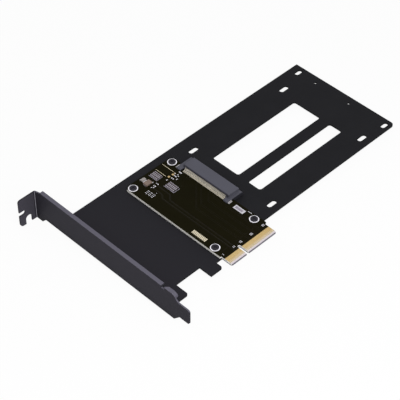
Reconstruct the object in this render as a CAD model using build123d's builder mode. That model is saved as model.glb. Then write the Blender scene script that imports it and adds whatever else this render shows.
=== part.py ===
from build123d import *
import os

# An adapter card that carries a 2.5 inch drive in a computer's expansion slot. A flat steel carrier holds the
# drive and a small printed board, and a folded steel bracket closes the slot opening in the chassis.
#
# Frame, in millimetres: X runs along the card, from the bracket to the far end. Y runs up the card, from the
# edge that plugs into the slot. Z points away from the carrier on the component side. The origin is the middle
# of the board's key notch, at the contact edge, on the carrier's upper face, which the board lies on.

os.makedirs("parts", exist_ok=True)

# Carrier plate, a stamped sheet
plate_gauge = 1.0
plate_far = 136.7
plate_low = 11.95
plate_high = 89.65
plate_corner = 2.5
plate_crisp = 0.5
flange_height = 9.0
fold_inside = 0.5

# Lugs along the carrier's lower edge
foot_far = -42.4
foot_low = 2.5
hook_near = -24.85
hook_far = -16.15
hook_low = 3.1
lug_round = 1.5
shelf_low = 8.1
shelf_far = 18.5

# Two long windows under the drive
window_near = 40.7
window_length = 69.4
wide_window_low = 46.6
wide_window_width = 20.5
slim_window_low = 29.6
slim_window_width = 9.5
window_round = 1.6

# Slots for the drive's four screws, at a 2.5 inch drive's spacing, and what lies beyond them
drive_pitch_x = 76.6
drive_pitch_y = 61.72
drive_middle_x = 75.78
drive_middle_y = 48.56
drive_slot_length = 6.6
drive_slot_width = 3.1
end_slot_inset = 5.0
end_slot_pitch = 68.0
end_slot_middle = 49.6
end_slot_length = 5.2
end_slot_width = 2.8
pilot_hole_radius = 0.8
pilot_hole_pitch = 26.5
pilot_hole_middle = 56.5

# Slot bracket, a folded sheet that stands on the carrier's near edge
bracket_gauge = 0.86
key_to_bracket = 59.05
bracket_length = 120.02
ear_seat = 105.03
bracket_low = -0.95
bracket_width = 18.37
lip_depth = 2.35
lip_fold_outside = 0.4
fold_radius = 0.35
ear_reach = 11.6
ear_low = -4.2
ear_high = 15.55
ear_corner = 1.6
finger_corner = 2.4
neck_high = 16.9
neck_start = 97.2
neck_slant = 3.0
lip_start = 100.6
relief_high = 5.6
relief_low = 3.4
relief_depth = 1.6
relief_slant = 1.7
shoulder_start = -1.7
shoulder_run = 6.3
tongue_low = 3.45
tongue_width = 10.19
tongue_corner = 1.5
heel_start = -3.7
heel_run = 4.05
screw_notch_width = 4.3
screw_notch_reach = 5.4
screw_notch_top = 1.4
ear_slit_low = 4.0
ear_slit_width = 2.8
ear_slit_depth = 4.1

# Printed board, four-lane edge
board_thick = 1.6
board_near = -13.15
board_far = 23.6
board_high = 83.0
board_round = 3.0
board_heel = 1.2
tab_near = -12.15
tab_far = 22.15
tab_high = 8.25
tab_round = 0.8
key_width = 1.9
key_depth = 7.5
bevel_length = 1.4
bevel_depth = 0.45

# Contact pads on the tab
pad_pitch = 1.0
pad_width = 0.7
pad_length = 3.9
pad_low = 1.8
pad_thick = 0.05
short_pad_cut = 1.1
near_pads = 11
far_pads = 21
key_to_pad = 1.5

# Board screws, in plated holes
screw_near = -9.8
screw_pitch_x = 30.4
screw_low = 15.15
screw_pitch_y = 64.5
land_radius = 2.8
land_thick = 0.05
screw_hole_radius = 1.45
screw_head_radius = 2.2
screw_head_height = 0.5
screw_shank_radius = 1.22
thread_clearance = 0.03
recess_width = 0.55
recess_length = 2.3
recess_depth = 0.35
collar_radius = 2.1
collar_height = 1.0

# Drive receptacle
socket_offset = 4.8
socket_rear = 21.4
socket_front = 29.8
socket_width = 35.3
socket_top = 5.05
arm_rear = 18.7
arm_front = 31.4
arm_width = 3.3
arm_top = 2.5
arm_span = 40.3
arm_shift = 0.7
cavity_width = 33.6
cavity_low = 2.55
cavity_high = 4.4
cavity_depth = 6.4
edge_clearance = 0.1
socket_edge = 0.3
arm_nose = 1.0

# Receptacle contacts: a fine upper row and a coarser lower row
contact_shift = 0.5
upper_count = 40
upper_pitch = 0.8
upper_width = 0.46
lower_groups = (7, 15)
lower_pitch = 1.27
lower_width = 0.6
lower_gap = 6.35
middle_count = 6
contact_thick = 0.2
upper_foot_tip = 19.75
upper_foot_end = 20.7
upper_exit = 2.85
lower_foot_tip = 20.85
beam_bow = 0.3
beam_short = 0.9

# Board locks, the receptacle's soldered metal tabs
lock_rear = 19.1
lock_length = 2.8
lock_foot = 0.95
lock_thick = 0.25
lock_rise = 0.8

# Small parts on the board
chip_length = 1.6
chip_width = 0.8
chip_height = 0.45
chip_end = 0.32
chip_pitch_x = 2.3
chip_pitch_y = 1.16
small_chip_length = 1.0
small_chip_width = 0.5
small_chip_height = 0.35
small_chip_end = 0.22
small_chip_pitch_x = 1.1
small_chip_pitch_y = 2.2
reservoir_length = 4.3
reservoir_width = 3.1
reservoir_height = 1.1
reservoir_tab = 0.35
reservoir_tab_width = 2.2
reservoir_place = (-1.45, 76.6)
switch_length = 2.9
switch_width = 1.7
switch_height = 0.9
switch_place = (-1.3, 80.3)
switch_lead_width = 0.6
switch_lead_reach = 0.7
switch_lead_pitch = 0.95
switch_lead_thick = 0.15
reservoir_bevel = 0.15
tab_sheet = 0.12
trace_width = 0.2
trace_thick = 0.05
test_pad_size = 1.3
service_pad_x = -9.55
service_pad_y = 22.5
service_pad_pitch = 0.8
service_pad_count = 13
service_pad_length = 2.5
service_pad_width = 0.5

# Where the small parts lie on the board: block middles with their rows, then single places
chip_blocks = [(6.4, 78.0, 5), (6.5, 65.2, 6)]
resistor_block = (-6.3, 69.4)
lone_resistors = [(2.2, 72.6), (0.0, 72.5), (13.7, 70.0), (11.3, 69.7)]
test_pad_places = [(10.9, 72.2), (13.8, 71.9)]
trace_runs = [(15.5, 71.3, 82.1), (9.9, 73.6, 81.7)]

# Derived places
plate_bend = fold_inside + plate_gauge
bracket_face = -key_to_bracket
bracket_inner = bracket_face + bracket_gauge
bracket_top = bracket_low + bracket_width
fold_outside = fold_radius + bracket_gauge
plate_near = bracket_inner + plate_bend
tongue_end = ear_seat - bracket_length
screw_spots = [
    (screw_near + i * screw_pitch_x, screw_low + j * screw_pitch_y) for i in (0, 1) for j in (0, 1)
]
socket_middle = drive_middle_y + socket_offset
socket_low = socket_middle - socket_width / 2
cavity_back = socket_front - cavity_depth


def at(shape, *spots):
    """The sketch corners that lie at the given places."""
    return [
        v for v in shape.vertices() if any(abs(v.X - x) < 0.01 and abs(v.Y - y) < 0.01 for x, y in spots)
    ]


def along(edges, direction, line):
    """The straight edges that run one way and pass through the given line; None leaves that axis free."""
    found = []
    for e in edges.filter_by(direction):
        middle = e @ 0.5
        gaps = [abs(have - want) for have, want in zip((middle.X, middle.Y, middle.Z), line) if want is not None]
        if max(gaps) < 0.01:
            found.append(e)
    return found


# Carrier plate: one stamped blank, folded up along its near edge and spot-welded to the bracket
with BuildPart() as carrier_plate:
    with BuildSketch(Plane.XY.offset(-plate_gauge)) as blank:
        with Locations((plate_near, plate_low)):
            Rectangle(plate_far - plate_near, plate_high - plate_low, align=(Align.MIN, Align.MIN))
        with Locations((plate_near, foot_low)):
            Rectangle(foot_far - plate_near, plate_low - foot_low, align=(Align.MIN, Align.MIN))
        with Locations((hook_near, hook_low)):
            Rectangle(hook_far - hook_near, plate_low - hook_low, align=(Align.MIN, Align.MIN))
        with Locations((hook_far, shelf_low)):
            Rectangle(shelf_far - hook_far, plate_low - shelf_low, align=(Align.MIN, Align.MIN))
        fillet(at(blank, (foot_far, foot_low), (hook_far, hook_low)), lug_round)
        fillet(at(blank, (plate_far, plate_low)), plate_corner)
        fillet(at(blank, (plate_far, plate_high)), plate_crisp)
        for low, width in ((wide_window_low, wide_window_width), (slim_window_low, slim_window_width)):
            with Locations((window_near + window_length / 2, low + width / 2)):
                RectangleRounded(window_length, width, window_round, mode=Mode.SUBTRACT)
        with Locations((drive_middle_x, drive_middle_y)):
            with GridLocations(drive_pitch_x, drive_pitch_y, 2, 2):
                SlotOverall(drive_slot_length, drive_slot_width, mode=Mode.SUBTRACT)
        with Locations((plate_far - end_slot_inset, end_slot_middle)):
            with GridLocations(1, end_slot_pitch, 1, 2):
                SlotOverall(end_slot_length, end_slot_width, mode=Mode.SUBTRACT)
        with Locations((plate_far - end_slot_inset, pilot_hole_middle)):
            with GridLocations(1, pilot_hole_pitch, 1, 2):
                Circle(pilot_hole_radius, mode=Mode.SUBTRACT)
    extrude(amount=plate_gauge)
    # The fold, from the plate's near edge up the back of the bracket
    with BuildSketch(Plane.XZ.offset(-foot_low)):
        with BuildLine():
            Line((plate_near, -plate_gauge), (plate_near, 0))
            RadiusArc((plate_near, 0), (bracket_inner + plate_gauge, fold_inside), fold_inside)
            Polyline(
                (bracket_inner + plate_gauge, fold_inside),
                (bracket_inner + plate_gauge, flange_height),
                (bracket_inner, flange_height),
                (bracket_inner, fold_inside),
            )
            RadiusArc((bracket_inner, fold_inside), (plate_near, -plate_gauge), -plate_bend)
        make_face()
    extrude(amount=-(plate_high - foot_low))
    # Drawn collars under the plate take the threads of the board screws
    with BuildSketch(Plane.XY.offset(-plate_gauge)):
        with Locations(*screw_spots):
            Circle(collar_radius)
    extrude(amount=-collar_height)
    with Locations(*[(x, y, 0) for x, y in screw_spots]):
        Hole(screw_shank_radius + thread_clearance, plate_gauge + collar_height)
carrier_plate.part.label = "carrier_plate"
export_step(carrier_plate.part, "parts/carrier_plate.step")

# Slot bracket: the face stands across the card's near end, with the ear folded out and a lip folded in
with BuildPart() as slot_bracket:
    shoulder_drop = bracket_top - tongue_low - tongue_width
    shoulder_mid = (shoulder_start - shoulder_run / 2, bracket_top - shoulder_drop / 2)
    with BuildSketch(Plane.YZ.offset(bracket_face)) as face:
        with BuildLine():
            Polyline(
                (tongue_end, tongue_low + tongue_width),
                (tongue_end, tongue_low),
                (heel_start - heel_run, tongue_low),
                (heel_start, bracket_low),
                (neck_start, bracket_low),
                (neck_start + neck_slant, ear_low),
                (ear_seat, ear_low),
                (ear_seat, ear_high),
                (lip_start, neck_high),
                (lip_start, bracket_top),
                (relief_high, bracket_top),
                (relief_high, bracket_top - relief_depth),
                (relief_low, bracket_top - relief_depth),
                (relief_low, bracket_top),
                (shoulder_start, bracket_top),
            )
            crest = TangentArc((shoulder_start, bracket_top), shoulder_mid, tangent=(-1, 0))
            TangentArc(
                shoulder_mid, (shoulder_start - shoulder_run, tongue_low + tongue_width), tangent=crest % 1
            )
            Line(
                (shoulder_start - shoulder_run, tongue_low + tongue_width),
                (tongue_end, tongue_low + tongue_width),
            )
        make_face()
        fillet(at(face, (tongue_end, tongue_low), (tongue_end, tongue_low + tongue_width)), tongue_corner)
        fillet(at(face, (neck_start + neck_slant, ear_low)), neck_slant / 4)
    extrude(amount=bracket_gauge)
    # Long lip, then the short one that follows the shoulder above the tongue
    with BuildSketch(Plane.XZ.offset(-relief_high)):
        with Locations((bracket_face, bracket_top)):
            Rectangle(lip_depth, bracket_gauge, align=(Align.MIN, Align.MAX))
    extrude(amount=-(lip_start - relief_high))
    with BuildSketch(Plane.YZ.offset(bracket_face)):
        with BuildLine():
            upper = Line((relief_low, bracket_top), (shoulder_start, bracket_top))
            bow = TangentArc((shoulder_start, bracket_top), shoulder_mid, tangent=(-1, 0))
            Line(shoulder_mid, (shoulder_mid[0] + bracket_gauge, shoulder_mid[1] - bracket_gauge))
            Polyline(
                (shoulder_mid[0] + bracket_gauge, shoulder_mid[1] - bracket_gauge),
                (shoulder_start, bracket_top - bracket_gauge),
                (relief_low, bracket_top - bracket_gauge),
                (relief_low, bracket_top),
            )
        make_face()
    extrude(amount=lip_depth)
    # Ear, folded outwards, with the notch for the chassis screw and a slit in its outer end
    with BuildSketch(Plane.XZ.offset(-ear_seat)) as ear:
        with Locations((bracket_inner, ear_low)):
            Rectangle(ear_reach + bracket_gauge, ear_high - ear_low, align=(Align.MAX, Align.MIN))
        fillet(at(ear, (bracket_face - ear_reach, ear_high)), ear_corner)
        fillet(at(ear, (bracket_face - ear_reach, ear_low)), finger_corner)
        with Locations((bracket_face - screw_notch_reach, screw_notch_top - screw_notch_width / 2)):
            Circle(screw_notch_width / 2, mode=Mode.SUBTRACT)
            Rectangle(
                screw_notch_width,
                screw_notch_top - ear_low,
                align=(Align.CENTER, Align.MAX),
                mode=Mode.SUBTRACT,
            )
        with Locations((bracket_face - ear_reach, ear_slit_low + ear_slit_width / 2)):
            SlotOverall(2 * ear_slit_depth, ear_slit_width, mode=Mode.SUBTRACT)
    extrude(amount=-bracket_gauge)
    folds = slot_bracket.edges()
    fillet(along(folds, Axis.Z, (bracket_face, ear_seat, None)), fold_radius)
    fillet(along(folds, Axis.Z, (bracket_inner, ear_seat + bracket_gauge, None)), fold_outside)
    # The outside of the lip's fold
    with BuildSketch(Plane.XZ.offset(-shoulder_start)):
        with BuildLine():
            Line((bracket_face, bracket_top - lip_fold_outside), (bracket_face, bracket_top))
            Line((bracket_face, bracket_top), (bracket_face + lip_fold_outside, bracket_top))
            CenterArc(
                (bracket_face + lip_fold_outside, bracket_top - lip_fold_outside), lip_fold_outside, 90, 90
            )
        make_face()
    extrude(amount=-(lip_start - shoulder_start), mode=Mode.SUBTRACT)
    # The short lip starts with a slanted corner
    with BuildSketch(Plane.XY.offset(bracket_top)):
        Polygon(
            (bracket_inner, relief_low),
            (bracket_face + lip_depth, relief_low),
            (bracket_face + lip_depth, relief_low - relief_slant),
            align=None,
        )
    extrude(amount=-2 * bracket_gauge, mode=Mode.SUBTRACT)
slot_bracket.part.label = "slot_bracket"
export_step(slot_bracket.part, "parts/slot_bracket.step")

# Printed board, with the key notch and a bevel on both faces of the contact edge
with BuildPart() as adapter_board:
    with BuildSketch() as outline:
        with Locations((board_near, tab_high)):
            Rectangle(board_far - board_near, board_high - tab_high, align=(Align.MIN, Align.MIN))
        with Locations((tab_near, 0)):
            Rectangle(tab_far - tab_near, tab_high, align=(Align.MIN, Align.MIN))
        fillet(at(outline, (board_near, board_high), (board_far, board_high)), board_round)
        fillet(at(outline, (board_far, tab_high)), board_heel)
        fillet(at(outline, (tab_near, 0), (tab_far, 0)), tab_round)
        with Locations((0, key_depth - key_width / 2)):
            Circle(key_width / 2, mode=Mode.SUBTRACT)
            Rectangle(key_width, key_depth, align=(Align.CENTER, Align.MAX), mode=Mode.SUBTRACT)
        with Locations(*screw_spots):
            Circle(screw_hole_radius, mode=Mode.SUBTRACT)
    extrude(amount=board_thick)
    with BuildSketch(Plane.YZ.offset(tab_near)):
        Polygon((0, 0), (bevel_length, 0), (0, bevel_depth), align=None)
        Polygon(
            (0, board_thick),
            (0, board_thick - bevel_depth),
            (bevel_length, board_thick),
            align=None,
        )
    extrude(amount=tab_far - tab_near, mode=Mode.SUBTRACT)
adapter_board.part.label = "adapter_board"
export_step(adapter_board.part, "parts/adapter_board.step")

# Contact pads, one row on each face; the pads that sense the card are cut short at the contact edge
near_row = [-key_to_pad - i * pad_pitch for i in range(near_pads)]
far_row = [key_to_pad + i * pad_pitch for i in range(far_pads)]
sense_far = key_to_pad + (far_pads - 2) * pad_pitch
sense_middle = key_to_pad + 5 * pad_pitch
sense_near = -key_to_pad - (near_pads - 1) * pad_pitch


def pads(places, short):
    """Draws one row of contact pads, the named ones shorter at the contact edge."""
    for x in places:
        cut = short_pad_cut if x in short else 0
        with Locations((x, pad_low + cut)):
            Rectangle(pad_width, pad_length - cut, align=(Align.CENTER, Align.MIN))


with BuildPart() as component_side_pads:
    with BuildSketch(Plane.XY.offset(board_thick)):
        pads(near_row + far_row, (sense_middle, sense_far))
    extrude(amount=pad_thick)
component_side_pads.part.label = "component_side_pads"
export_step(component_side_pads.part, "parts/component_side_pads.step")

with BuildPart() as solder_side_pads:
    with BuildSketch(Plane.XY.offset(-pad_thick)):
        pads(near_row + far_row, (sense_near,))
    extrude(amount=pad_thick)
solder_side_pads.part.label = "solder_side_pads"
export_step(solder_side_pads.part, "parts/solder_side_pads.step")

# Plated lands round the four screw holes
with BuildPart() as screw_lands:
    with BuildSketch(Plane.XY.offset(board_thick)):
        with Locations(*screw_spots):
            Circle(land_radius)
            Circle(screw_hole_radius, mode=Mode.SUBTRACT)
    extrude(amount=land_thick)
screw_lands.part.label = "screw_lands"
export_step(screw_lands.part, "parts/screw_lands.step")

# Four identical screws, each clamping the board to a drawn collar of the carrier
head_seat = board_thick + land_thick
with BuildPart() as board_screws:
    with BuildSketch(Plane.XY.offset(head_seat)):
        with Locations(*screw_spots):
            Circle(screw_head_radius)
    extrude(amount=screw_head_height)
    chamfer(board_screws.faces().group_by(Axis.Z)[-1].edges(), screw_head_height / 4)
    with BuildSketch(Plane.XY.offset(-plate_gauge - collar_height + thread_clearance)):
        with Locations(*screw_spots):
            Circle(screw_shank_radius)
    extrude(amount=head_seat + plate_gauge + collar_height - thread_clearance)
    with BuildSketch(Plane.XY.offset(head_seat + screw_head_height)):
        with Locations(*screw_spots):
            Rectangle(recess_length, recess_width)
            Rectangle(recess_width, recess_length)
    extrude(amount=-recess_depth, mode=Mode.SUBTRACT)
board_screws.part.label = "board_screws"
export_step(board_screws.part, "parts/board_screws.step")


def blade(path, thick, width, place):
    """A formed contact: its path in X and Z given a thickness, centred on the given place in Y."""
    outline = path + [(x, z + thick) for x, z in reversed(path)]
    with BuildSketch(Plane.XZ.offset(width / 2 - place)) as side:
        Polygon(*outline, align=None)
    return extrude(side.sketch, amount=-width)


# Receptacle contacts: gull-wing feet on the board, then spring beams inside the cavity
beam_tip = socket_front - beam_short
beam_mid = (cavity_back + beam_tip) / 2
upper_path = [
    (upper_foot_tip, board_thick),
    (upper_foot_end, board_thick),
    (socket_rear, upper_exit),
    (cavity_back, cavity_high - 2 * contact_thick),
    (beam_mid, cavity_high - 2 * contact_thick - beam_bow),
    (beam_tip, cavity_high - 2 * contact_thick),
]
lower_path = [
    (lower_foot_tip, board_thick),
    (socket_rear, board_thick),
    (cavity_back, cavity_low),
    (beam_mid, cavity_low + beam_bow),
    (beam_tip, cavity_low),
]
contact_middle = socket_middle + contact_shift
upper_places = [contact_middle + (i - (upper_count - 1) / 2) * upper_pitch for i in range(upper_count)]
first_lower = contact_middle - (sum(lower_groups) - len(lower_groups)) * lower_pitch / 2 - lower_gap / 2
signal_places = [first_lower + i * lower_pitch for i in range(lower_groups[0])]
supply_places = [signal_places[-1] + lower_gap + i * lower_pitch for i in range(lower_groups[1])]
between = (signal_places[-1] + supply_places[0]) / 2
middle_places = [between + (i - (middle_count - 1) / 2) * upper_pitch for i in range(middle_count)]

with BuildPart() as upper_contacts:
    for place in upper_places:
        add(blade(upper_path, contact_thick, upper_width, place))
upper_contacts.part.label = "upper_contacts"
export_step(upper_contacts.part, "parts/upper_contacts.step")

with BuildPart() as lower_contacts:
    for place in signal_places + supply_places:
        add(blade(lower_path, contact_thick, lower_width, place))
    for place in middle_places:
        add(blade(lower_path, contact_thick, upper_width, place))
lower_contacts.part.label = "lower_contacts"
export_step(lower_contacts.part, "parts/lower_contacts.step")

# Receptacle housing: a body with the mating cavity, between two guide arms that stand on the board
low_arm_outer = socket_middle + arm_shift - arm_span / 2
high_arm_outer = low_arm_outer + arm_span
step_place = board_far + edge_clearance
with BuildPart() as receptacle_housing:
    with BuildSketch(Plane.XZ.offset(-socket_low)):
        Polygon(
            (socket_rear, board_thick),
            (step_place, board_thick),
            (step_place, edge_clearance),
            (socket_front, edge_clearance),
            (socket_front, socket_top),
            (socket_rear, socket_top),
            align=None,
        )
    extrude(amount=-socket_width)
    chamfer(receptacle_housing.faces().group_by(Axis.Z)[-1].edges(), socket_edge)
    for start in (low_arm_outer, high_arm_outer - arm_width):
        with BuildSketch(Plane.XZ.offset(-start)):
            Polygon(
                (arm_rear, board_thick),
                (step_place, board_thick),
                (step_place, edge_clearance),
                (arm_front, edge_clearance),
                (arm_front, arm_top - arm_nose),
                (arm_front - arm_nose, arm_top),
                (arm_rear, arm_top),
                align=None,
            )
        extrude(amount=-arm_width)
    with BuildSketch(Plane.YZ.offset(cavity_back)):
        with Locations((socket_middle, (cavity_low + cavity_high) / 2)):
            Rectangle(cavity_width, cavity_high - cavity_low)
    extrude(amount=arm_front - cavity_back, mode=Mode.SUBTRACT)
    add(upper_contacts.part, mode=Mode.SUBTRACT)
    add(lower_contacts.part, mode=Mode.SUBTRACT)
receptacle_housing.part.label = "receptacle_housing"
export_step(receptacle_housing.part, "parts/receptacle_housing.step")

# Board locks: bent metal tabs soldered to the board beside each guide arm
with BuildPart() as board_locks:
    for outer, way in ((low_arm_outer, -1), (high_arm_outer, 1)):
        with BuildSketch(Plane.YZ.offset(lock_rear)):
            Polygon(
                (outer, board_thick),
                (outer + way * lock_foot, board_thick),
                (outer + way * lock_foot, board_thick + lock_thick),
                (outer + way * lock_thick, board_thick + lock_thick),
                (outer + way * lock_thick, board_thick + lock_rise),
                (outer, board_thick + lock_rise),
                align=None,
            )
        extrude(amount=lock_length)
board_locks.part.label = "board_locks"
export_step(board_locks.part, "parts/board_locks.step")


def block(places, length, width):
    """Rectangles of one size at each of the given places."""
    with Locations(*places):
        Rectangle(length, width)


def both_ends(places, reach, along_y=False):
    """Places stepped to both ends of parts that lie at the given places."""
    step = (0, reach) if along_y else (reach, 0)
    return [(x + way * step[0], y + way * step[1]) for x, y in places for way in (-1, 1)]


# Chip capacitors in two blocks behind the receptacle
chip_places = [
    (x + (i - 0.5) * chip_pitch_x, y + (j - (rows - 1) / 2) * chip_pitch_y)
    for x, y, rows in chip_blocks
    for i in (0, 1)
    for j in range(rows)
]
with BuildPart() as chip_bodies:
    with BuildSketch(Plane.XY.offset(board_thick)):
        block(chip_places, chip_length - 2 * chip_end, chip_width)
    extrude(amount=chip_height)
chip_bodies.part.label = "chip_bodies"
export_step(chip_bodies.part, "parts/chip_bodies.step")

with BuildPart() as chip_ends:
    with BuildSketch(Plane.XY.offset(board_thick)):
        block(both_ends(chip_places, (chip_length - chip_end) / 2), chip_end, chip_width)
    extrude(amount=chip_height)
chip_ends.part.label = "chip_ends"
export_step(chip_ends.part, "parts/chip_ends.step")

# Small chip resistors, lying across the card: a block of three by three, and a few alone
resistor_places = lone_resistors + [
    (resistor_block[0] + i * small_chip_pitch_x, resistor_block[1] + j * small_chip_pitch_y)
    for i in (-1, 0, 1)
    for j in (-1, 0, 1)
]
with BuildPart() as resistor_bodies:
    with BuildSketch(Plane.XY.offset(board_thick)):
        block(resistor_places, small_chip_width, small_chip_length - 2 * small_chip_end)
    extrude(amount=small_chip_height)
resistor_bodies.part.label = "resistor_bodies"
export_step(resistor_bodies.part, "parts/resistor_bodies.step")

with BuildPart() as resistor_ends:
    with BuildSketch(Plane.XY.offset(board_thick)):
        tips = both_ends(resistor_places, (small_chip_length - small_chip_end) / 2, along_y=True)
        block(tips, small_chip_width, small_chip_end)
    extrude(amount=small_chip_height)
resistor_ends.part.label = "resistor_ends"
export_step(resistor_ends.part, "parts/resistor_ends.step")

# Reservoir capacitor, moulded, with a metal tab folded under each end
with BuildPart() as reservoir_body:
    with BuildSketch(Plane.XY.offset(board_thick + tab_sheet)):
        block([reservoir_place], reservoir_length, reservoir_width)
    extrude(amount=reservoir_height)
    chamfer(reservoir_body.faces().sort_by(Axis.Z)[-1].edges(), reservoir_bevel)
reservoir_body.part.label = "reservoir_body"
export_step(reservoir_body.part, "parts/reservoir_body.step")

with BuildPart() as reservoir_tabs:
    with BuildSketch(Plane.XY.offset(board_thick)):
        block(both_ends([reservoir_place], (reservoir_length - reservoir_tab) / 2), reservoir_tab * 2,
              reservoir_tab_width)
    extrude(amount=tab_sheet)
reservoir_tabs.part.label = "reservoir_tabs"
export_step(reservoir_tabs.part, "parts/reservoir_tabs.step")

# Power switch: a moulded body on gull-wing leads
with BuildPart() as switch_body:
    with BuildSketch(Plane.XY.offset(board_thick + switch_lead_thick)):
        block([switch_place], switch_length, switch_width)
    extrude(amount=switch_height)
    chamfer(switch_body.faces().sort_by(Axis.Z)[-1].edges(), reservoir_bevel)
switch_body.part.label = "switch_body"
export_step(switch_body.part, "parts/switch_body.step")

with BuildPart() as switch_leads:
    with BuildSketch(Plane.XY.offset(board_thick)):
        lead_rows = both_ends([switch_place], switch_width / 2, along_y=True)
        block(
            [(x + i * switch_lead_pitch, y) for x, y in lead_rows for i in (-1, 0, 1)],
            switch_lead_width,
            2 * switch_lead_reach,
        )
    extrude(amount=switch_lead_thick)
switch_leads.part.label = "switch_leads"
export_step(switch_leads.part, "parts/switch_leads.step")

# Bare plated copper: test pads, the two long traces that lead to them, and a row of service pads
with BuildPart() as test_pads:
    with BuildSketch(Plane.XY.offset(board_thick)):
        block(test_pad_places, test_pad_size, test_pad_size)
        block(
            [(service_pad_x, service_pad_y + i * service_pad_pitch) for i in range(service_pad_count)],
            service_pad_length,
            service_pad_width,
        )
    extrude(amount=trace_thick)
test_pads.part.label = "test_pads"
export_step(test_pads.part, "parts/test_pads.step")

with BuildPart() as bare_traces:
    with BuildSketch(Plane.XY.offset(board_thick)):
        for x, low, high in trace_runs:
            with Locations((x, (low + high) / 2)):
                SlotOverall(high - low, trace_width, rotation=90)
    extrude(amount=trace_thick)
bare_traces.part.label = "bare_traces"
export_step(bare_traces.part, "parts/bare_traces.step")
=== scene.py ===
# %% [markdown]
# A drive carrier card, dressed over its solid model.
#
# The solid model already has every sheet, screw, contact and chip at its true size. This lesson loads it, gives
# each piece the finish of its real material, adds the thin copper, solder and print that are too fine for the
# solids, and photographs the card from above its bracket end.

import bpy
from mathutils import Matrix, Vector


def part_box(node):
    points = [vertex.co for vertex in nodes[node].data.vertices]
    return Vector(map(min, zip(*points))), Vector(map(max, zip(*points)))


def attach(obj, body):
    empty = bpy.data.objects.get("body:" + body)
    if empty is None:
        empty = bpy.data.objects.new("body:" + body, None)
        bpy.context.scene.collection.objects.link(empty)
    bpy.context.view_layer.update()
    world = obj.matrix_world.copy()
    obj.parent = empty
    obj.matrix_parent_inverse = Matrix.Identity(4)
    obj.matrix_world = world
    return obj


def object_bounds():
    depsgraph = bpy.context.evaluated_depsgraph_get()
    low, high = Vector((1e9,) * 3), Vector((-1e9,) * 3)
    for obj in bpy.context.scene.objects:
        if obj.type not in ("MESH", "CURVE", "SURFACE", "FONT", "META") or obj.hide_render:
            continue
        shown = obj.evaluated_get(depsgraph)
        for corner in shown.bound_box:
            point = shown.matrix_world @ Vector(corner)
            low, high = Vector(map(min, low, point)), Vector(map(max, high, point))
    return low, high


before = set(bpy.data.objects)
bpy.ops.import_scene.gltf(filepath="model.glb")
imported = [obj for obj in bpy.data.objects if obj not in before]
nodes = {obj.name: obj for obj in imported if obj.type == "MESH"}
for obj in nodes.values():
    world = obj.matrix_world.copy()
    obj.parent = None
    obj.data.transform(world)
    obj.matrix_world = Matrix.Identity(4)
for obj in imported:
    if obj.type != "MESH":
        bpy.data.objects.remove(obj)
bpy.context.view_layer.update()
MM = 0.001
print("solid nodes:", len(nodes))

# %% [markdown]
# Colours are written as the eye sees them, in sRGB hex, because that is how they are read off a picture. Blender
# mixes light in linear values, so one function turns the first into the second.


# %% Colour
def linear(code):
    """An sRGB hex colour as the linear values that a shader takes."""
    parts = [int(code[i : i + 2], 16) / 255 for i in (1, 3, 5)]
    return [c / 12.92 if c <= 0.04045 else ((c + 0.055) / 1.055) ** 2.4 for c in parts] + [1.0]


print("mid grey in linear light:", [round(c, 3) for c in linear("#808080")])

# %% [markdown]
# A shader is a small graph, and so is a Geometry Nodes tree. One helper adds a node to either: settings are the
# node's own choices, and values fill its sockets, with a number or with another node's output.


# %% Add a node
def node(tree, kind, values=None, **settings):
    """Adds one node with its settings, and fills its input sockets with values or links."""
    made = tree.nodes.new(kind)
    for key, value in settings.items():
        setattr(made, key, value)
    for key, value in (values or {}).items():
        if isinstance(value, bpy.types.NodeSocket):
            tree.links.new(value, made.inputs[key])
        else:
            made.inputs[key].default_value = value
    return made


# %% [markdown]
# Most finishes here are one coat whose tone wanders a little and whose surface has a fine grain. Two noises do
# this: a broad one, for the cloudiness that handling and plating leave, and a fine one at the size of the grain.
# Both read Object coordinates, which stay with the piece, so the pattern is fixed to it from every side. A noise's
# scale is one over the size of its patches in metres. Stretch draws the patches out along one axis, as rolling and
# rubbing do.

# %% One coat, slightly uneven
CLOUD = 14.0


def coat(name, tones, roughness, metallic=0.0, specular=0.5, grain=0.6, relief=0.0, stretch=(1, 1, 1)):
    """A material that wanders between two tones, with fine relief; grain and relief are in millimetres."""
    made = bpy.data.materials.new(name)
    made.use_nodes = True
    tree = made.node_tree
    shader = tree.nodes["Principled BSDF"]
    where = node(tree, "ShaderNodeTexCoord")
    drawn = node(tree, "ShaderNodeMapping", {0: where.outputs["Object"], "Scale": stretch})
    fine = node(tree, "ShaderNodeTexNoise", {0: drawn.outputs[0], "Scale": 1 / (grain * MM), "Detail": 3.0})
    broad = node(tree, "ShaderNodeTexNoise", {0: drawn.outputs[0], "Scale": 1 / (CLOUD * MM), "Detail": 2.0})
    both = node(
        tree, "ShaderNodeMath", {0: fine.outputs[0], 1: 0.5, 2: broad.outputs[0]}, operation="MULTIPLY_ADD"
    )
    share = node(tree, "ShaderNodeMapRange", {0: both.outputs[0], 1: 0.45, 2: 1.05})
    tone = node(
        tree,
        "ShaderNodeMix",
        {0: share.outputs[0], 6: linear(tones[0]), 7: linear(tones[1])},
        data_type="RGBA",
    )
    tree.links.new(tone.outputs[2], shader.inputs["Base Color"])
    wear = node(tree, "ShaderNodeMapRange", {0: broad.outputs[0], 3: roughness - 0.06, 4: roughness + 0.06})
    tree.links.new(wear.outputs[0], shader.inputs["Roughness"])
    shader.inputs["Metallic"].default_value = metallic
    shader.inputs["Specular IOR Level"].default_value = specular
    if relief:
        bump = node(tree, "ShaderNodeBump", {"Height": fine.outputs[0], "Distance": relief * MM})
        tree.links.new(bump.outputs["Normal"], shader.inputs["Normal"])
    return made


print("cloud size", CLOUD, "mm")

# %% [markdown]
# Some places on a piece have another tone, such as a sawn edge. A mask picks them by the way the surface faces and
# by where it lies, both in Object coordinates, and a second colour goes over the first there.


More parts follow.
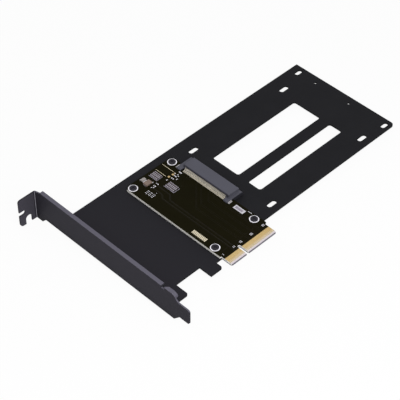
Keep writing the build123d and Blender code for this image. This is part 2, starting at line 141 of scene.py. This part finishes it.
# %% Another tone where the surface turns
def facing(tree, axis, low, high):
    """Rises from 0 to 1 as the surface turns from low to high along one axis, by the size of its normal."""
    where = node(tree, "ShaderNodeTexCoord")
    split = node(tree, "ShaderNodeSeparateXYZ", {0: where.outputs["Normal"]})
    size = node(tree, "ShaderNodeMath", {0: split.outputs[axis]}, operation="ABSOLUTE")
    return node(tree, "ShaderNodeMapRange", {0: size.outputs[0], 1: low, 2: high}).outputs[0]


def lying(tree, axis, low, high):
    """Rises from 0 to 1 between two places on one axis, in millimetres."""
    where = node(tree, "ShaderNodeTexCoord")
    split = node(tree, "ShaderNodeSeparateXYZ", {0: where.outputs["Object"]})
    return node(tree, "ShaderNodeMapRange", {0: split.outputs[axis], 1: low * MM, 2: high * MM}).outputs[0]


def paint_over(made, masks, colour):
    """Puts a colour over the base colour where all the masks are 1."""
    tree = made.node_tree
    base = tree.nodes["Principled BSDF"].inputs["Base Color"]
    share = masks[0]
    for mask in masks[1:]:
        share = node(tree, "ShaderNodeMath", {0: share, 1: mask}, operation="MULTIPLY").outputs[0]
    covered = base.links[0].from_socket
    mixed = node(tree, "ShaderNodeMix", {0: share, 6: covered, 7: linear(colour)}, data_type="RGBA")
    tree.links.new(mixed.outputs[2], base)


print("masks read the normal and the place")

# %% [markdown]
# The carrier is pressed steel with a black electrophoretic coat: an even, nearly matt skin with the faintest
# orange-peel, about 0.9 mm from crest to crest. Towards the bracket end the coat is painted a little greyer, as
# painted light where the key lamp falls nearest. Its sheared walls are painted nearly black.

# %% Black coat
black_coat = coat("Black e-coat on pressed steel", ("#17171a", "#1d1d20"), 0.62, 0.0, 0.07, 0.9, 0.01)
tree = black_coat.node_tree
# Painted light: the coat is lighter towards the bracket end, where the key lamp falls nearest.
paint_over(black_coat, [lying(tree, "X", 30, -50)], "#232227")
# The sheared walls are painted nearly black.
paint_over(black_coat, [facing(tree, "Z", 0.6, 0.4), lying(tree, "Z", 0.1, 0.05)], "#060607")
print("carrier:", black_coat.name)

# %% [markdown]
# The bracket is folded steel plated in black nickel. The film oxidises to a dark and slightly violet skin that is
# part metal and part oxide, so its Metallic is low. The strip was rolled before it was plated, and the rolling left
# fine lines along its length. The lip is painted a lighter, silvery grey as a painted highlight, and the inside of
# the ear's bend lighter still, a painted highlight too. The face is a little darker towards its low edge, and the
# ear is painted a little lighter as painted light.

# %% Black nickel
ROLLED = (1, 0.06, 1)
black_nickel = coat(
    "Black nickel on folded steel", ("#2c2b31", "#323037"), 0.5, 0.05, 0.03, 0.5, 0.002, ROLLED
)
tree = black_nickel.node_tree
# Painted highlight on the top of the lip.
paint_over(black_nickel, [facing(tree, "Z", 0.15, 0.8), lying(tree, "X", -59.2, -59.0)], "#5d5b66")
paint_over(black_nickel, [facing(tree, "X", 0.5, 0.9), lying(tree, "Z", 3.0, -4.0)], "#1f1e23")
# Painted light on the ear.
paint_over(black_nickel, [facing(tree, "Y", 0.9, 0.95), lying(tree, "X", -59.8, -60.2)], "#413f47")
# Painted highlight on the inside of the ear's bend.
paint_over(black_nickel, [facing(tree, "Y", 0.2, 0.5), facing(tree, "X", 0.2, 0.5)], "#8b8991")
black_zinc = coat("Black zinc on steel screws", ("#211f26", "#2a282f"), 0.45, 0.3, 0.2, 0.3)
print("sheet metal:", black_nickel.name, "/", black_zinc.name)

# %% [markdown]
# The board is glass laminate under black solder mask, a thin and slightly olive lacquer. The mask covers only its
# two faces, and it stops short of the contact pads, so the laminate between them is bare. The sawn edge shows bare
# grey laminate too, with its lower third painted darker, and on the bevel of the contact edge the glass weave has
# been ground to a pale, milky band. The square end below the bevel is painted darker, as painted shade.

# %% Solder mask on bare laminate
MASK = ("#110f04", "#151306")
board_finish = coat("Black solder mask on glass laminate", MASK, 0.5, 0.0, 0.02, 1.5, 0.003)
tree = board_finish.node_tree
paint_over(board_finish, [lying(tree, "Y", 5.65, 5.55)], "#bfb18d")
paint_over(board_finish, [lying(tree, "X", -12.75, -12.85)], "#a3a199")
paint_over(board_finish, [facing(tree, "Z", 0.995, 0.99)], "#c8bfc2")
paint_over(board_finish, [facing(tree, "Z", 0.55, 0.45)], "#ebe9e7")
# The lower third of the sawn edge is painted darker.
paint_over(board_finish, [facing(tree, "Z", 0.55, 0.45), lying(tree, "Z", 0.6, 0.5)], "#3a3835")
# Painted shade on the square end below the bevel.
paint_over(board_finish, [facing(tree, "Z", 0.995, 0.99), lying(tree, "Y", 0.45, 0.3)], "#6a6770")
print("board:", board_finish.name)

# %% [markdown]
# The bright metals differ in colour more than in gloss: hard gold on the contact edge, paler immersion gold on the
# bare pads, silver on the lands of the screws, tin on the contacts and solder on the chips. Solder that cooled
# slowly round the heavy tabs of the receptacle is dull. Plugging the card in and out wipes the hard gold, which
# leaves faint lines along the card's height and a paler tip, where nickel shines through. The two round test pads
# by the chips are a darker gold than the other bare pads.

# %% Bright metals
WIPED = (1, 0.2, 1)
hard_gold = coat("Hard gold on nickel", ("#cbae74", "#c09f61"), 0.36, 0.8, 0.5, 0.3, 0.0, WIPED)
paint_over(hard_gold, [lying(hard_gold.node_tree, "Y", 3.4, 1.4)], "#d6c9bb")
pale_gold = coat("Immersion gold", ("#ece2ca", "#e0d4b4"), 0.45, 0.5, 0.5, 0.4)
tree = pale_gold.node_tree
paint_over(pale_gold, [lying(tree, "Y", 66.0, 68.0), lying(tree, "Y", 74.0, 73.0)], "#b8a071")
silver = coat("Immersion silver", ("#fbf9ff", "#f0eef5"), 0.4, 0.2, 0.5, 0.5)
tin_plate = coat("Matt tin on copper alloy", ("#dad4c8", "#cac3b3"), 0.45, 0.5, 0.5, 0.3)
solder = coat("Bright solder", ("#b8b3ba", "#a49fa6"), 0.35, 0.5, 0.5, 0.4)
dull_solder = coat("Dull solder", ("#b5b2b3", "#a4a1a2"), 0.55, 0.4, 0.4, 0.4)
print("bright metals:", [m.name for m in (hard_gold, pale_gold, silver, tin_plate, solder, dull_solder)])

# %% [markdown]
# The rest is moulded or fired. The receptacle is glass-filled polymer in slate blue, with a fine mould texture. Two
# of its places lie in shade: the top of its rear wall, above the contacts, and the flanks of its guide arms.
# Chips are fired ceramic or moulded epoxy. The print on the board is a flat white ink, and the label patch is the
# same ink laid thinner, so that the mask dulls it.

# %% Polymer, ceramic and ink
slate = coat("Glass-filled polymer, slate", ("#494952", "#4f4f59"), 0.55, 0.0, 0.2, 0.5, 0.01)
tree = slate.node_tree
paint_over(slate, [lying(tree, "X", 21.8, 21.7), lying(tree, "Z", 3.4, 3.5)], "#34343d")
paint_over(slate, [facing(tree, "Y", 0.9, 0.95), lying(tree, "Z", 2.45, 2.4)], "#26262c")
ceramic = coat("Fired barium ceramic", ("#4f464c", "#5c5258"), 0.6, 0.0, 0.3, 0.4)
epoxy = coat("Moulded black epoxy", ("#232227", "#2b2a30"), 0.55, 0.0, 0.3, 0.4)
grey_epoxy = coat("Moulded grey epoxy", ("#a5a09c", "#85807d"), 0.55, 0.0, 0.3, 0.8)
salmon = coat("Moulded epoxy, salmon", ("#86746a", "#675850"), 0.6, 0.0, 0.3, 0.9)
ink = coat("White epoxy ink", ("#cbc9cf", "#bdbbc1"), 0.7, 0.0, 0.2, 0.5)
thin_ink = coat("White epoxy ink, thin", ("#a39da9", "#726d78"), 0.7, 0.0, 0.2, 0.7)
print("moulded and printed:", [m.name for m in (slate, ceramic, epoxy, grey_epoxy, salmon, ink, thin_ink)])

# %% [markdown]
# Each solid node takes one finish. A table from finish to node names keeps this easy to read and to change.

# %% Dress the solid nodes
finishes = {
    black_coat: ["carrier_plate"],
    black_nickel: ["slot_bracket"],
    board_finish: ["adapter_board"],
    hard_gold: ["component_side_pads", "solder_side_pads"],
    silver: ["screw_lands", "resistor_ends", "switch_leads"],
    solder: ["chip_ends", "reservoir_tabs"],
    dull_solder: ["board_locks"],
    black_zinc: ["board_screws"],
    tin_plate: ["upper_contacts", "lower_contacts"],
    slate: ["receptacle_housing"],
    ceramic: ["chip_bodies"],
    epoxy: ["resistor_bodies"],
    grey_epoxy: ["switch_body"],
    salmon: ["reservoir_body"],
    pale_gold: ["test_pads", "bare_traces"],
}
dressed = set()
for finish, names in finishes.items():
    for name in names:
        mesh = nodes[name].data
        mesh.materials.clear()
        mesh.materials.append(finish)
        dressed.add(name)
print("undressed nodes:", sorted(set(nodes) - dressed))

# %% [markdown]
# Everything that comes next lies on the board's upper face, so its height is read once from the board's own box.
# Each finished mesh becomes a piece in the same way: it gets its finish and rides on the card's one body.

# %% Put a piece on the card
BOARD_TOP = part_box("adapter_board")[1][2]


def place(name, mesh, finish):
    """Puts a finished mesh in the scene as a piece of the card."""
    mesh.name = name
    mesh.materials.clear()
    mesh.materials.append(finish)
    piece = bpy.data.objects.new(name, mesh)
    bpy.context.scene.collection.objects.link(piece)
    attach(piece, "root")


print("board top at", round(BOARD_TOP / MM, 3), "mm")

# %% [markdown]
# Rows of equal lands, rings and marks repeat all over a circuit board, so Geometry Nodes make them. The base of
# each piece is a mesh that holds only points. A tree puts one small shape on every point, turns the instances into
# real geometry, because the export drops instances, and sets the material. The same points could be filled by
# copying in Python, but a tree keeps the sizes as named inputs that can be changed on the modifier.


# %% Run a tree on a base mesh
def grown(name, tree, base, values, finish):
    """Runs a Geometry Nodes tree on a base mesh with named inputs, and keeps the plain mesh as a piece."""
    holder = bpy.data.objects.new(name + "_base", base)
    bpy.context.scene.collection.objects.link(holder)
    modifier = holder.modifiers.new("grow", "NODES")
    modifier.node_group = tree
    sockets = {item.name: item.identifier for item in tree.interface.items_tree if item.in_out == "INPUT"}
    for key, value in values.items():
        modifier[sockets[key]] = value
    modifier[sockets["Finish"]] = finish
    bpy.context.view_layer.update()
    mesh = bpy.data.meshes.new_from_object(holder.evaluated_get(bpy.context.evaluated_depsgraph_get()))
    bpy.data.objects.remove(holder)
    print(name, "has", len(mesh.polygons), "faces")
    place(name, mesh, finish)


def new_tree(name, inputs):
    """An empty Geometry Nodes tree with its base, its finish and the given named inputs."""
    tree = bpy.data.node_groups.new(name, "GeometryNodeTree")
    tree.interface.new_socket("Base", in_out="INPUT", socket_type="NodeSocketGeometry")
    tree.interface.new_socket("Finish", in_out="INPUT", socket_type="NodeSocketMaterial")
    for key, (kind, value) in inputs.items():
        tree.interface.new_socket(key, in_out="INPUT", socket_type=kind).default_value = value
    tree.interface.new_socket("Result", in_out="OUTPUT", socket_type="NodeSocketGeometry")
    return tree, node(tree, "NodeGroupInput").outputs


def close_tree(tree, shapes, finish):
    """Ends a tree: real geometry, its material, and the output."""
    real = node(tree, "GeometryNodeRealizeInstances", {0: shapes})
    coated = node(tree, "GeometryNodeSetMaterial", {0: real.outputs[0], "Material": finish})
    node(tree, "NodeGroupOutput", {0: coated.outputs[0]})


def points(name, places, height=BOARD_TOP):
    """A mesh of loose points at places on the board, in millimetres."""
    mesh = bpy.data.meshes.new(name)
    mesh.from_pydata([(x * MM, y * MM, height) for x, y in places], [], [])
    return mesh


# %% [markdown]
# The first tree puts a flat block on each point. It makes the solder lands that stick out from under the
# receptacle's contact feet and from under both ends of every chip. Solder creeps over them, so they are bright.

# %% Solder lands
lands_tree, given = new_tree("flat_lands", {"Size": ("NodeSocketVector", (MM, MM, 0.05 * MM))})
block = node(lands_tree, "GeometryNodeMeshCube", {"Size": given["Size"]})
spread = node(lands_tree, "GeometryNodeInstanceOnPoints", {0: given["Base"], "Instance": block.outputs[0]})
close_tree(lands_tree, spread.outputs[0], given["Finish"])

CONTACTS = 40
CONTACT_MIDDLE = 53.86
CONTACT_PITCH = 0.8
TAIL_X = 20.05
TAIL_LAND = (1.2 * MM, 0.52 * MM, 0.1 * MM)


def contact_y(i):
    """Where contact i of the receptacle lies along Y, in millimetres."""
    return CONTACT_MIDDLE + (i - (CONTACTS - 1) / 2) * CONTACT_PITCH


tails = [(TAIL_X, contact_y(i)) for i in range(CONTACTS)]
grown("tail_lands", lands_tree, points("tails", tails), {"Size": TAIL_LAND}, tin_plate)

# %% [markdown]
# Where a contact enters the housing it has a wider shoulder, which is pressed into the plastic and holds it there.
# Its face shows on the housing's rear wall, just above each foot.

# %% Contact shoulders
HOUSING_REAR = 21.4
SHOULDER_Z = 3.35
SHOULDER = (0.1 * MM, 0.6 * MM, 0.65 * MM)
shoulders = [(HOUSING_REAR, y) for x, y in tails]
base = points("shoulders", shoulders, SHOULDER_Z * MM)
grown("contact_shoulders", lands_tree, base, {"Size": SHOULDER}, tin_plate)

# %% [markdown]
# The chips stand in two blocks of two columns. Their lands reach a little past each end of every chip.

# %% Lands of the chips
CHIP_LAND = (0.75 * MM, 0.7 * MM, 0.08 * MM)
CHIP_BLOCKS = ((6.4, 78.0, 5), (6.5, 65.2, 6))
CHIP_STEP = (2.3, 1.16)
CHIP_REACH = 0.72
chip_ends = [
    (x + column * CHIP_STEP[0] / 2 + end * CHIP_REACH, y + (row - (rows - 1) / 2) * CHIP_STEP[1])
    for x, y, rows in CHIP_BLOCKS
    for column in (-1, 1)
    for end in (-1, 1)
    for row in range(rows)
]
grown("chip_lands", lands_tree, points("chip_ends", chip_ends), {"Size": CHIP_LAND}, solder)

# %% [markdown]
# A few small chips stand alone, each across the card on two lands. Beside them are single lands whose chips were
# never fitted, as on most boards that are built in more than one version.

# %% Lands of the lone chips, and empty lands
SMALL_LAND = (0.55 * MM, 0.5 * MM, 0.08 * MM)
SMALL_REACH = 0.65
lone_chips = [(2.2, 72.6), (0.0, 72.5), (13.7, 70.0), (11.3, 69.7)]
small_lands = [(x, y + way * SMALL_REACH) for x, y in lone_chips for way in (-1, 1)]
empty_lands = [(15.1, 71.6), (15.7, 69.9), (14.9, 68.7), (-2.1, 72.9)]
small_lands += empty_lands
grown("small_lands", lands_tree, points("small_lands", small_lands), {"Size": SMALL_LAND}, silver)

# %% [markdown]
# The second tree puts a flat ring on each point: a circle swept by a small rectangle. On the board the rings are
# vias, the plated holes that join its two faces, closed over by the mask. On the flange behind the bracket they
# are the shallow rims that spot welding leaves, so there the tree turns them to face along X.

# %% Rings
rings_tree, given = new_tree(
    "flat_rings",
    {
        "Radius": ("NodeSocketFloat", 0.3 * MM),
        "Band": ("NodeSocketFloat", 0.15 * MM),
        "Height": ("NodeSocketFloat", 0.03 * MM),
        "Turn": ("NodeSocketVector", (0.0, 0.0, 0.0)),
    },
)
circle = node(rings_tree, "GeometryNodeCurvePrimitiveCircle", {"Resolution": 16, "Radius": given["Radius"]})
section = node(
    rings_tree, "GeometryNodeCurvePrimitiveQuadrilateral", {"Width": given["Band"], "Height": given["Height"]}
)
ring = node(rings_tree, "GeometryNodeCurveToMesh", {0: circle.outputs[0], "Profile Curve": section.outputs[0]})
spread = node(
    rings_tree,
    "GeometryNodeInstanceOnPoints",
    {0: given["Base"], "Instance": ring.outputs[0], "Rotation": given["Turn"]},
)
close_tree(rings_tree, spread.outputs[0], given["Finish"])

mask_on_copper = coat("Solder mask over copper", ("#15130a", "#19160c"), 0.45, 0.0, 0.04, 1.5)
ABOVE_PADS = 10.6
via_places = [(x, ABOVE_PADS) for x in (2.5, 5.5, 6.5, 9.5, 10.5, 14.5, 15.5)]
via_places += [(-4.5 - i, ABOVE_PADS) for i in range(6)]
via_places += [(17.2, 62.0 + 1.1 * i) for i in range(7)]
via_places += [(10.6, 61.8 + 1.3 * i) for i in range(6)]
via_places += [(-6.2, 22.9 + 1.6 * i) for i in range(6)]
grown("tented_vias", rings_tree, points("vias", via_places), {}, mask_on_copper)

# %% [markdown]
# The weld rims sit on the inner face of the carrier's flange, which stands 1 mm behind the bracket.

# %% Spot-weld rims
FLANGE_INNER = -57.19
WELD_Z = 5.2
WELD = {"Radius": 1.5 * MM, "Band": 0.03 * MM, "Height": 0.35 * MM}
QUARTER_TURN = 1.5707963
weld_places = [(FLANGE_INNER * MM, y * MM, WELD_Z * MM) for y in (10, 27, 44, 61, 78)]
welds = bpy.data.meshes.new("welds")
welds.from_pydata(weld_places, [], [])
grown("weld_rims", rings_tree, welds, {**WELD, "Turn": (0.0, QUARTER_TURN, 0.0)}, black_coat)

# %% [markdown]
# The third tree follows paths. A trace is a strip of copper under the mask, and all that shows of it is a low
# ridge in the lacquer. The base mesh has the path of each trace as a chain of edges. The tree turns the chains into
# curves, rounds their corners and sweeps a flat rectangle along them.

# %% Traces under the mask
traces_tree, given = new_tree(
    "flat_traces",
    {
        "Width": ("NodeSocketFloat", 0.22 * MM),
        "Height": ("NodeSocketFloat", 0.04 * MM),
        "Bend": ("NodeSocketFloat", 1.2 * MM),
    },
)
chain = node(traces_tree, "GeometryNodeMeshToCurve", {0: given["Base"]})
bent = node(
    traces_tree,
    "GeometryNodeFilletCurve",
    {0: chain.outputs[0], "Radius": given["Bend"], "Limit Radius": True, "Count": 5},
    mode="POLY",
)
section = node(
    traces_tree, "GeometryNodeCurvePrimitiveQuadrilateral", {"Width": given["Width"], "Height": given["Height"]}
)
strip = node(traces_tree, "GeometryNodeCurveToMesh", {0: bent.outputs[0], "Profile Curve": section.outputs[0]})
close_tree(traces_tree, strip.outputs[0], given["Finish"])


def chains(name, paths):
    """A mesh with one chain of edges for each path of places on the board, in millimetres."""
    corners = []
    edges = []
    for path in paths:
        edges += [(len(corners) + i, len(corners) + i + 1) for i in range(len(path) - 1)]
        corners += [(x * MM, y * MM, BOARD_TOP) for x, y in path]
    mesh = bpy.data.meshes.new(name)
    mesh.from_pydata(corners, edges, [])
    return mesh


PAD_TOP = 5.7
FEET = 19.0
ARRIVE = 17.6
lanes = ((3.5, 24), (4.5, 23), (7.5, 19), (8.5, 18), (12.5, 12), (13.5, 11), (16.5, 7), (17.5, 6))
signal_paths = []
for x, contact in lanes:
    y = contact_y(contact)
    signal_paths.append([(x, PAD_TOP), (x, y - (ARRIVE - x)), (ARRIVE, y), (FEET, y)])
grown("signal_traces", traces_tree, chains("signal_paths", signal_paths), {}, mask_on_copper)

supply_paths = [
    [(-2.0, PAD_TOP), (-2.0, 58.0), (1.2, 61.2), (1.2, 71.0)],
    [(-4.0, PAD_TOP), (-4.0, 62.0), (-1.8, 64.2), (-1.8, 74.0)],
]
SUPPLY = {"Width": 1.1 * MM, "Bend": 2.5 * MM}
grown("supply_traces", traces_tree, chains("supply_paths", supply_paths), SUPPLY, mask_on_copper)

# %% [markdown]
# The print is a film of ink: corner lines round the chip blocks, a dash and small marks, a blank label patch with a
# duller field on it, and the numbers of the pads at the ends of each row. Flat strips are drawn as thin boxes in
# one mesh, straight from their corners, because they have no rule to repeat by.

# %% Printed lines and the blank label patch
INK_THICK = 0.03 * MM


def slabs(name, rectangles, base, thick):
    """One mesh of flat boxes, each given as low x, low y, high x, high y in millimetres."""
    corners = []
    faces = []
    for x0, y0, x1, y1 in rectangles:
        start = len(corners)
        for z in (base, base + thick):
            corners += [(x * MM, y * MM, z) for x, y in ((x0, y0), (x1, y0), (x1, y1), (x0, y1))]
        quads = [(3, 2, 1, 0), (4, 5, 6, 7), (0, 1, 5, 4), (1, 2, 6, 5), (2, 3, 7, 6), (3, 0, 4, 7)]
        faces += [tuple(start + i for i in quad) for quad in quads]
    mesh = bpy.data.meshes.new(name)
    mesh.from_pydata(corners, [], faces)
    mesh.update()
    return mesh


corner_lines = [
    (3.55, 74.9, 3.85, 81.2),
    (3.55, 74.6, 8.6, 74.9),
    (3.65, 61.2, 3.95, 69.0),
    (3.65, 60.9, 8.6, 61.2),
]
marks = [
    (22.5, 18.9, 22.85, 21.6),
    (7.8, 70.8, 8.7, 71.5),
    (12.0, 67.3, 13.2, 67.8),
    (17.45, 69.0, 18.2, 71.1),
    (0.8, 75.0, 1.6, 75.75),
    (-1.6, 71.7, -0.8, 72.4),
    (-3.5, 67.2, -3.1, 67.6),
]
label_patch = [(18.8, 22.4, 21.8, 29.8)]
label_field = [(19.5, 23.6, 21.1, 29.0)]
place("corner_lines", slabs("corner_lines", corner_lines, BOARD_TOP, INK_THICK), thin_ink)
place("printed_marks", slabs("printed_marks", marks, BOARD_TOP, INK_THICK), ink)
place("label_patch", slabs("label_patch", label_patch, BOARD_TOP, INK_THICK), ink)
place("label_field", slabs("label_field", label_field, BOARD_TOP + INK_THICK, INK_THICK), thin_ink)
print("printed lines and marks:", len(corner_lines) + len(marks))

# %% [markdown]
# The pad numbers are text objects. Their place goes into the mesh, not the object, because every finished piece
# has its object at the origin. A digit is about 0.7 of its font's size high, and a small offset thickens its
# strokes as screen printing does.


# %% Pad numbers
DIGIT_SHARE = 0.7
NUMBER_ROW = 8.4
NUMBER_HEIGHT = 1.3


def number(text, x, y, height):
    """A number printed on the board, centred on the given place, as a thin mesh."""
    curve = bpy.data.curves.new("number_" + text, "FONT")
    curve.body = text
    curve.size = height * MM / DIGIT_SHARE
    curve.extrude = INK_THICK / 2
    curve.offset = 0.06 * MM
    curve.align_x = "CENTER"
    curve.align_y = "CENTER"
    holder = bpy.data.objects.new("number_" + text, curve)
    bpy.context.scene.collection.objects.link(holder)
    bpy.context.view_layer.update()
    mesh = bpy.data.meshes.new_from_object(holder.evaluated_get(bpy.context.evaluated_depsgraph_get()))
    bpy.data.objects.remove(holder)
    for vertex in mesh.vertices:
        vertex.co += Vector((x * MM, y * MM, BOARD_TOP + INK_THICK / 2))
    place("pad_number_" + text, mesh, ink)


for text, x in (("1", -10.4), ("11", -2.2), ("12", 2.9), ("22", 11.2), ("32", 20.6)):
    number(text, x, NUMBER_ROW, NUMBER_HEIGHT)
print("pad numbers printed")

# %% [markdown]
# A plain studio. The floor is pale paper that takes the card's soft shadow. To the camera and in glossy
# reflections it shows mostly as white, through the Light Path node, and so does the room behind it, so that the
# background is white while the light on the card stays at a plain level.


# %% Floor and room
def seen_share(tree, share):
    """The given share for camera, glossy and transmission rays, and none for the rays that light the card."""
    path = node(tree, "ShaderNodeLightPath")
    total = path.outputs["Is Camera Ray"]
    for kind in ("Is Glossy Ray", "Is Transmission Ray"):
        total = node(tree, "ShaderNodeMath", {0: total, 1: path.outputs[kind]}, operation="MAXIMUM").outputs[0]
    return node(tree, "ShaderNodeMath", {0: total, 1: share}, operation="MULTIPLY").outputs[0]


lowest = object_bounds()[0][2]
FLOOR_HALF = 3.0
FLOOR_WHITE = 0.94
ROOM_LIGHT = 0.45
floor_mesh = bpy.data.meshes.new("floor")
floor_corners = [(x * FLOOR_HALF, y * FLOOR_HALF, lowest) for x, y in ((-1, -1), (1, -1), (1, 1), (-1, 1))]
floor_mesh.from_pydata(floor_corners, [], [(0, 1, 2, 3)])
floor = bpy.data.objects.new("floor", floor_mesh)
bpy.context.scene.collection.objects.link(floor)
paper = bpy.data.materials.new("Pale paper")
paper.use_nodes = True
tree = paper.node_tree
shader = tree.nodes["Principled BSDF"]
shader.inputs["Base Color"].default_value = linear("#e2e2e2")
shader.inputs["Roughness"].default_value = 0.9
glow = node(tree, "ShaderNodeEmission", {"Color": (1, 1, 1, 1), "Strength": 1.0})
white_share = seen_share(tree, FLOOR_WHITE)
mixed = node(tree, "ShaderNodeMixShader", {0: white_share, 1: shader.outputs[0], 2: glow.outputs[0]})
tree.links.new(mixed.outputs[0], tree.nodes["Material Output"].inputs["Surface"])
floor_mesh.materials.append(paper)

room = bpy.data.worlds.new("Soft grey room")
bpy.context.scene.world = room
room.use_nodes = True
tree = room.node_tree
backdrop = tree.nodes["Background"]
backdrop.inputs["Color"].default_value = (1, 1, 1, 1)
backdrop.inputs["Strength"].default_value = ROOM_LIGHT
white = node(tree, "ShaderNodeBackground", {"Color": (1, 1, 1, 1), "Strength": 1.0})
mixed = node(tree, "ShaderNodeMixShader", {0: seen_share(tree, 1.0), 1: backdrop.outputs[0], 2: white.outputs[0]})
tree.links.new(mixed.outputs[0], tree.nodes["World Output"].inputs["Surface"])
print("floor at", round(lowest / MM, 2), "mm")

# %% [markdown]
# Two soft boxes model the card. The key stands over the bracket end, on the camera's side, so the light falls off
# towards the far end. A weaker one behind keeps the far sides readable. Sizes are in metres and powers in watts.


# %% Lamps
def softbox(name, stand, aim, size, power):
    """A square area lamp at a place, turned towards what it lights."""
    data = bpy.data.lights.new(name, "AREA")
    data.size = size
    data.energy = power
    lamp = bpy.data.objects.new(name, data)
    lamp.location = stand
    lamp.rotation_euler = (Vector(aim) - Vector(stand)).to_track_quat("-Z", "Y").to_euler()
    bpy.context.scene.collection.objects.link(lamp)


card_middle = (0.03, 0.045, 0.0)
softbox("key lamp", (-0.17, -0.28, 0.42), card_middle, 0.4, 2.6)
softbox("back lamp", (-0.15, 0.9, 0.65), card_middle, 0.6, 1.2)

# %% [markdown]
# The camera stands where the photographer's did. Its place and lens come from a fit of the plate's edges and of its
# four drive slots, at their known spacing, to the picture. It stands about 45 degrees up and 45 degrees round from
# the bracket, with a long lens.

# %% Camera
camera_data = bpy.data.cameras.new("camera")
camera_data.sensor_width = 36.0
camera_data.lens = 134.94
camera_data.clip_start = 0.01
camera_data.clip_end = 20.0
camera = bpy.data.objects.new("camera", camera_data)
camera.location = (-0.407764, -0.372001, 0.5866)
target = Vector((0.011281, 0.047792, 0.0))
camera.rotation_euler = (target - camera.location).to_track_quat("-Z", "Y").to_euler()
bpy.context.scene.collection.objects.link(camera)
bpy.context.scene.camera = camera
bpy.context.scene.view_settings.view_transform = "Standard"
print("camera distance", round((target - camera.location).length, 3), "m")
